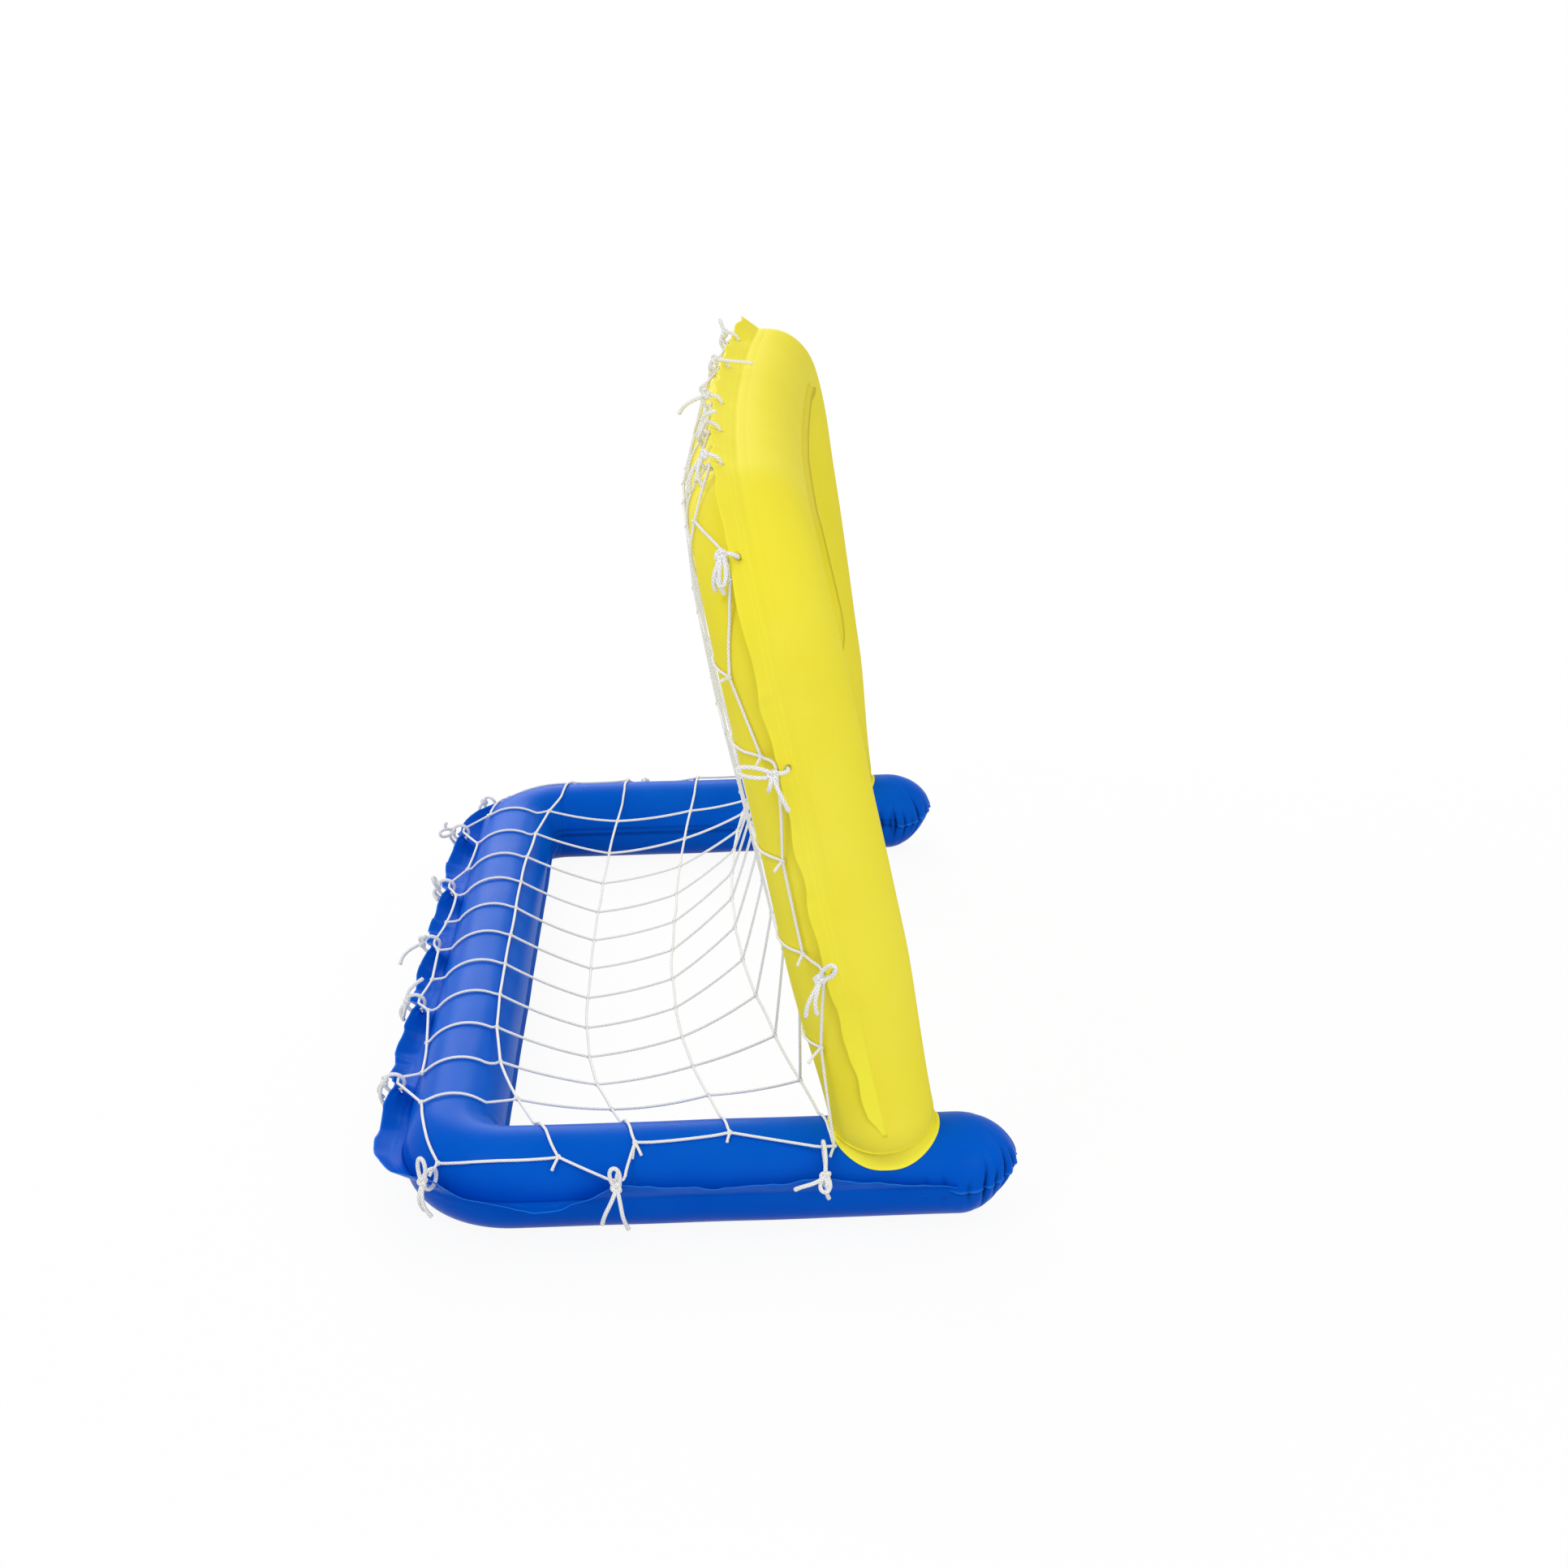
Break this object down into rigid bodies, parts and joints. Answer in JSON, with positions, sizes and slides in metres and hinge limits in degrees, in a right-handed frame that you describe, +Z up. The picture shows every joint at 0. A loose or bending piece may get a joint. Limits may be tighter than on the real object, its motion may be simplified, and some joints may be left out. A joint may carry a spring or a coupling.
{
  "type": "floating water polo goal",
  "caption": "Inflatable floating water polo goal: U-shaped base tube, leaning arch welded to its arms, knotted net laced to both seam flaps with cord ties, and push-in air valves.",
  "frame": {"origin": "The middle of the goal's footprint box, on the surface that the base tube lies on.", "axes": "+X across the goal mouth, from the near post towards the far post of the picture; +Y from the mouth to the rear bar, so the mouth faces -Y; +Z up."},
  "size_m": [1.4818, 0.8258, 0.964],
  "materials": {
    "blue_pvc": "gloss",
    "yellow_pvc": "satin",
    "net_cord": "matte",
    "tie_cord": "matte",
    "clear_pvc": "satin"
  },
  "bodies": {
    "goal": {"base_chamber": "blue_pvc", "arch_chamber": "yellow_pvc", "foot_collar_near": "yellow_pvc", "foot_collar_far": "yellow_pvc", "base_flap_far": "blue_pvc", "base_flap_middle": "blue_pvc", "base_flap_near": "blue_pvc", "arch_flap_far": "yellow_pvc", "arch_flap_middle": "yellow_pvc", "arch_flap_near": "yellow_pvc", "net_floor": "net_cord", "net_curtain": "net_cord", "tie_far_foot": "tie_cord", "tie_far_arm": "tie_cord", "tie_far_corner": "tie_cord", "tie_rear_1": "tie_cord", "tie_rear_2": "tie_cord", "tie_rear_3": "tie_cord", "tie_rear_4": "tie_cord", "tie_rear_5": "tie_cord", "tie_near_corner": "tie_cord", "tie_near_arm": "tie_cord", "tie_near_foot": "tie_cord", "tie_far_post_3": "tie_cord", "tie_far_post_2": "tie_cord", "tie_far_post_1": "tie_cord", "tie_top_1": "tie_cord", "tie_top_2": "tie_cord", "tie_top_3": "tie_cord", "tie_top_4": "tie_cord", "tie_top_5": "tie_cord", "tie_near_post_1": "tie_cord", "tie_near_post_2": "tie_cord", "tie_near_post_3": "tie_cord", "base_valve_seat": "clear_pvc", "arch_valve_seat": "clear_pvc"},
    "base_valve_stem": {"base_valve_stem": "clear_pvc"},
    "base_valve_cap": {"base_valve_cap": "clear_pvc"},
    "base_valve_check": {"base_valve_check": "clear_pvc"},
    "arch_valve_stem": {"arch_valve_stem": "clear_pvc"},
    "arch_valve_cap": {"arch_valve_cap": "clear_pvc"},
    "arch_valve_check": {"arch_valve_check": "clear_pvc"}
  },
  "joints": [
    {"name": "base_valve_push", "type": "slide", "parent": "goal", "child": "base_valve_stem", "axis": [0.809, 0, -0.5878], "range_m": [0, 0.015]},
    {"name": "base_valve_cap_hinge", "type": "hinge", "parent": "base_valve_stem", "child": "base_valve_cap", "pos_m": [0.68538, -0.01301, 0.02764], "axis": [-0.5878, 0, -0.809], "range_deg": [0, 135]},
    {"name": "base_valve_check_hinge", "type": "hinge", "parent": "base_valve_stem", "child": "base_valve_check", "pos_m": [0.66467, -0.01151, 0.04269], "axis": [0.5878, 0, 0.809], "range_deg": [0, 50], "stiffness_Nm_per_rad": 0.001},
    {"name": "arch_valve_push", "type": "slide", "parent": "goal", "child": "arch_valve_stem", "axis": [0.8084, -0.5797, 0.1023], "range_m": [0, 0.015]},
    {"name": "arch_valve_cap_hinge", "type": "hinge", "parent": "arch_valve_stem", "child": "arch_valve_cap", "pos_m": [0.68523, -0.27193, 0.27584], "axis": [0.5874, 0.8058, -0.0752], "range_deg": [0, 135]},
    {"name": "arch_valve_check_hinge", "type": "hinge", "parent": "arch_valve_stem", "child": "arch_valve_check", "pos_m": [0.66448, -0.25691, 0.27471], "axis": [-0.5874, -0.8058, 0.0752], "range_deg": [0, 50], "stiffness_Nm_per_rad": 0.001}
  ]
}
